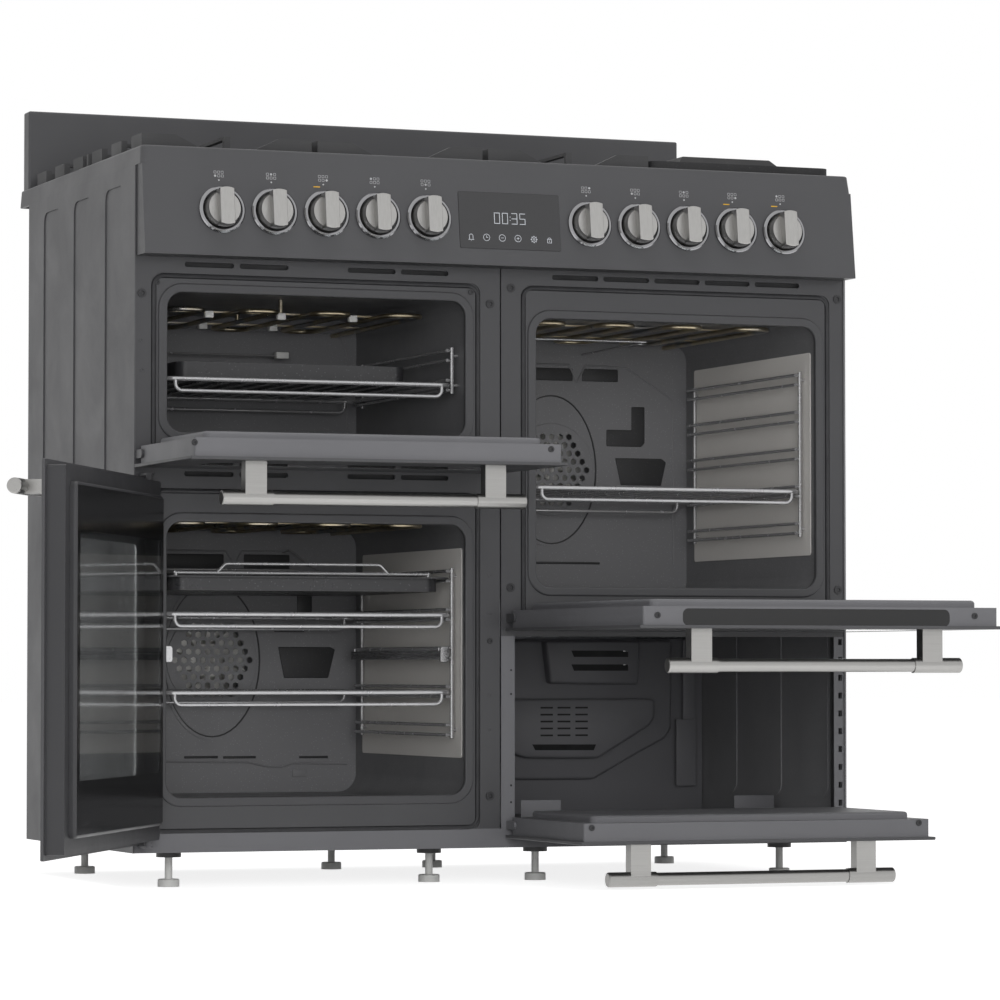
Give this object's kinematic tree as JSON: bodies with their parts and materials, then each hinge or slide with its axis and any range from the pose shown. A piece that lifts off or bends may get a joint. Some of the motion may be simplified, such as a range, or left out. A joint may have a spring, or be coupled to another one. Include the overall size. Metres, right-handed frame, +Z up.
{
  "type": "range cooker with double oven",
  "caption": "Free-standing range cooker: gas hob with griddle, grill oven, two fan ovens, storage bay, sloped knob panel and open doors.",
  "frame": {"origin": "on the floor, in the middle of the 1000 by 600 mm footprint", "axes": "+X to the user's right, +Y to the wall behind, +Z up"},
  "size_m": [1.2613, 1.0188, 1.0525],
  "materials": {
    "charcoal_enamel": "satin",
    "cavity_enamel": "gloss",
    "frame_steel": "satin",
    "galvanised": "matt",
    "handle_steel": "satin",
    "chrome_wire": "polished",
    "liner_grey": "matt",
    "cast_black": "matt",
    "griddle_coat": "matt",
    "black_glass": "gloss",
    "display": "gloss",
    "element": "matt",
    "foot_plastic": "matt",
    "runner_steel": "satin",
    "knob_metal": "satin"
  },
  "bodies": {
    "cabinet": {"side_panel_left": "charcoal_enamel", "side_panel_right": "charcoal_enamel", "back_panel": "galvanised", "chassis": "frame_steel", "feet": "foot_plastic", "worktop": "charcoal_enamel", "splashback": "charcoal_enamel", "control_panel": "charcoal_enamel", "display_glass": "display", "knob_bezels": "handle_steel", "front_frames": "charcoal_enamel", "tl_cavity": "cavity_enamel", "tr_cavity": "cavity_enamel", "bl_cavity": "cavity_enamel", "storage_liner": "frame_steel", "fan_baffles": "cavity_enamel", "heating_elements": "element", "shelf_rails": "chrome_wire", "oven_liners": "liner_grey", "burners": "cast_black", "service_inlets": "galvanised"},
    "tl_door": {"tl_door_panel": "charcoal_enamel", "tl_door_core": "frame_steel", "tl_handle": "handle_steel", "tl_door_glass": "black_glass"},
    "tr_door": {"tr_door_panel": "charcoal_enamel", "tr_door_core": "frame_steel", "tr_handle": "handle_steel", "tr_door_glass": "black_glass"},
    "bl_door": {"bl_door_panel": "charcoal_enamel", "bl_door_core": "frame_steel", "bl_handle": "handle_steel", "bl_door_glass": "black_glass"},
    "br_door": {"br_door_panel": "charcoal_enamel", "br_door_core": "frame_steel", "br_handle": "handle_steel"},
    "knob_01_body": {"knob_01": "knob_metal"},
    "knob_02_body": {"knob_02": "knob_metal"},
    "knob_03_body": {"knob_03": "knob_metal"},
    "knob_04_body": {"knob_04": "knob_metal"},
    "knob_05_body": {"knob_05": "knob_metal"},
    "knob_06_body": {"knob_06": "knob_metal"},
    "knob_07_body": {"knob_07": "knob_metal"},
    "knob_08_body": {"knob_08": "knob_metal"},
    "knob_09_body": {"knob_09": "knob_metal"},
    "knob_10_body": {"knob_10": "knob_metal"},
    "tr_fan_body": {"tr_fan": "galvanised"},
    "bl_fan_body": {"bl_fan": "galvanised"},
    "left_support_body": {"pan_support_left": "cast_black"},
    "middle_support_body": {"pan_support_middle": "cast_black"},
    "right_support_body": {"pan_support_right": "cast_black"},
    "griddle_body": {"griddle": "griddle_coat"},
    "tl_shelf_body": {"tl_shelf": "chrome_wire"},
    "tr_shelf_body": {"tr_shelf": "chrome_wire"},
    "bl_shelf_upper_body": {"bl_shelf_upper": "chrome_wire"},
    "bl_shelf_lower_body": {"bl_shelf_lower": "chrome_wire"},
    "bl_tray_body": {"bl_tray": "cavity_enamel"},
    "bl_runners_body": {"bl_runners": "runner_steel"},
    "tl_tray_body": {"tl_tray": "cavity_enamel"},
    "bl_rack_body": {"bl_rack": "chrome_wire"}
  },
  "joints": [
    {"name": "tl_hinge", "type": "hinge", "parent": "cabinet", "child": "tl_door", "pos_m": [-0.2525, -0.289, 0.5505], "axis": [1, 0, 0], "range_deg": [-90, 0]},
    {"name": "tr_hinge", "type": "hinge", "parent": "cabinet", "child": "tr_door", "pos_m": [0.2525, -0.289, 0.3452], "axis": [1, 0, 0], "range_deg": [-90, 0]},
    {"name": "br_hinge", "type": "hinge", "parent": "cabinet", "child": "br_door", "pos_m": [0.2525, -0.289, 0.0755], "axis": [1, 0, 0], "range_deg": [-90, 0]},
    {"name": "bl_hinge", "type": "hinge", "parent": "cabinet", "child": "bl_door", "pos_m": [-0.486, -0.292, 0.2895], "axis": [0, 0, -1], "range_deg": [-120, 0]},
    {"name": "knob_01_turn", "type": "hinge", "parent": "cabinet", "child": "knob_01_body", "pos_m": [-0.3933, -0.29864, 0.86202], "axis": [0, -0.9919, 0.1271], "range_deg": [0, 210]},
    {"name": "knob_02_turn", "type": "hinge", "parent": "cabinet", "child": "knob_02_body", "pos_m": [-0.3231, -0.29864, 0.86202], "axis": [0, -0.9919, 0.1271], "range_deg": [0, 210]},
    {"name": "knob_03_turn", "type": "hinge", "parent": "cabinet", "child": "knob_03_body", "pos_m": [-0.2529, -0.29864, 0.86202], "axis": [0, -0.9919, 0.1271], "range_deg": [-270, 0]},
    {"name": "knob_04_turn", "type": "hinge", "parent": "cabinet", "child": "knob_04_body", "pos_m": [-0.1827, -0.29864, 0.86202], "axis": [0, -0.9919, 0.1271], "range_deg": [-270, 0]},
    {"name": "knob_05_turn", "type": "hinge", "parent": "cabinet", "child": "knob_05_body", "pos_m": [-0.1125, -0.29864, 0.86202], "axis": [0, -0.9919, 0.1271], "range_deg": [-270, 0]},
    {"name": "knob_06_turn", "type": "hinge", "parent": "cabinet", "child": "knob_06_body", "pos_m": [0.1125, -0.29864, 0.86202], "axis": [0, -0.9919, 0.1271], "range_deg": [0, 210]},
    {"name": "knob_07_turn", "type": "hinge", "parent": "cabinet", "child": "knob_07_body", "pos_m": [0.1827, -0.29864, 0.86202], "axis": [0, -0.9919, 0.1271], "range_deg": [0, 210]},
    {"name": "knob_08_turn", "type": "hinge", "parent": "cabinet", "child": "knob_08_body", "pos_m": [0.2529, -0.29864, 0.86202], "axis": [0, -0.9919, 0.1271], "range_deg": [0, 210]},
    {"name": "knob_09_turn", "type": "hinge", "parent": "cabinet", "child": "knob_09_body", "pos_m": [0.3231, -0.29864, 0.86202], "axis": [0, -0.9919, 0.1271], "range_deg": [-270, 0]},
    {"name": "knob_10_turn", "type": "hinge", "parent": "cabinet", "child": "knob_10_body", "pos_m": [0.3933, -0.29864, 0.86202], "axis": [0, -0.9919, 0.1271], "range_deg": [-270, 0]},
    {"name": "tr_fan_spin", "type": "hinge", "parent": "cabinet", "child": "tr_fan_body", "pos_m": [0.2525, 0.2, 0.56275], "axis": [0, -1, 0], "continuous": true},
    {"name": "bl_fan_spin", "type": "hinge", "parent": "cabinet", "child": "bl_fan_body", "pos_m": [-0.2525, 0.2, 0.291], "axis": [0, -1, 0], "continuous": true},
    {"name": "left_support_lift", "type": "slide", "parent": "cabinet", "child": "left_support_body", "axis": [0, 0, 1], "range_m": [0, 0.1]},
    {"name": "middle_support_lift", "type": "slide", "parent": "cabinet", "child": "middle_support_body", "axis": [0, 0, 1], "range_m": [0, 0.1]},
    {"name": "right_support_lift", "type": "slide", "parent": "cabinet", "child": "right_support_body", "axis": [0, 0, 1], "range_m": [0, 0.1]},
    {"name": "griddle_lift", "type": "slide", "parent": "cabinet", "child": "griddle_body", "axis": [0, 0, 1], "range_m": [0, 0.1]},
    {"name": "tl_shelf_slide", "type": "slide", "parent": "cabinet", "child": "tl_shelf_body", "axis": [0, -1, 0], "range_m": [0, 0.25]},
    {"name": "tr_shelf_slide", "type": "slide", "parent": "cabinet", "child": "tr_shelf_body", "axis": [0, -1, 0], "range_m": [0, 0.25]},
    {"name": "bl_shelf_upper_slide", "type": "slide", "parent": "cabinet", "child": "bl_shelf_upper_body", "axis": [0, -1, 0], "range_m": [0, 0.25]},
    {"name": "bl_shelf_lower_slide", "type": "slide", "parent": "cabinet", "child": "bl_shelf_lower_body", "axis": [0, -1, 0], "range_m": [0, 0.25]},
    {"name": "bl_tray_slide", "type": "slide", "parent": "cabinet", "child": "bl_tray_body", "axis": [0, -1, 0], "range_m": [0, 0.25]},
    {"name": "bl_runners_slide", "type": "slide", "parent": "cabinet", "child": "bl_runners_body", "axis": [0, -1, 0], "range_m": [0, 0.25]},
    {"name": "tl_tray_slide", "type": "slide", "parent": "tl_shelf_body", "child": "tl_tray_body", "axis": [0, -1, 0], "range_m": [0, 0.1]},
    {"name": "bl_rack_lift", "type": "slide", "parent": "bl_tray_body", "child": "bl_rack_body", "axis": [0, 0, 1], "range_m": [0, 0.04]}
  ],
  "couplings": [
    {"joint": "bl_hinge", "follows": "tl_hinge", "ratio": 1.3333}
  ]
}
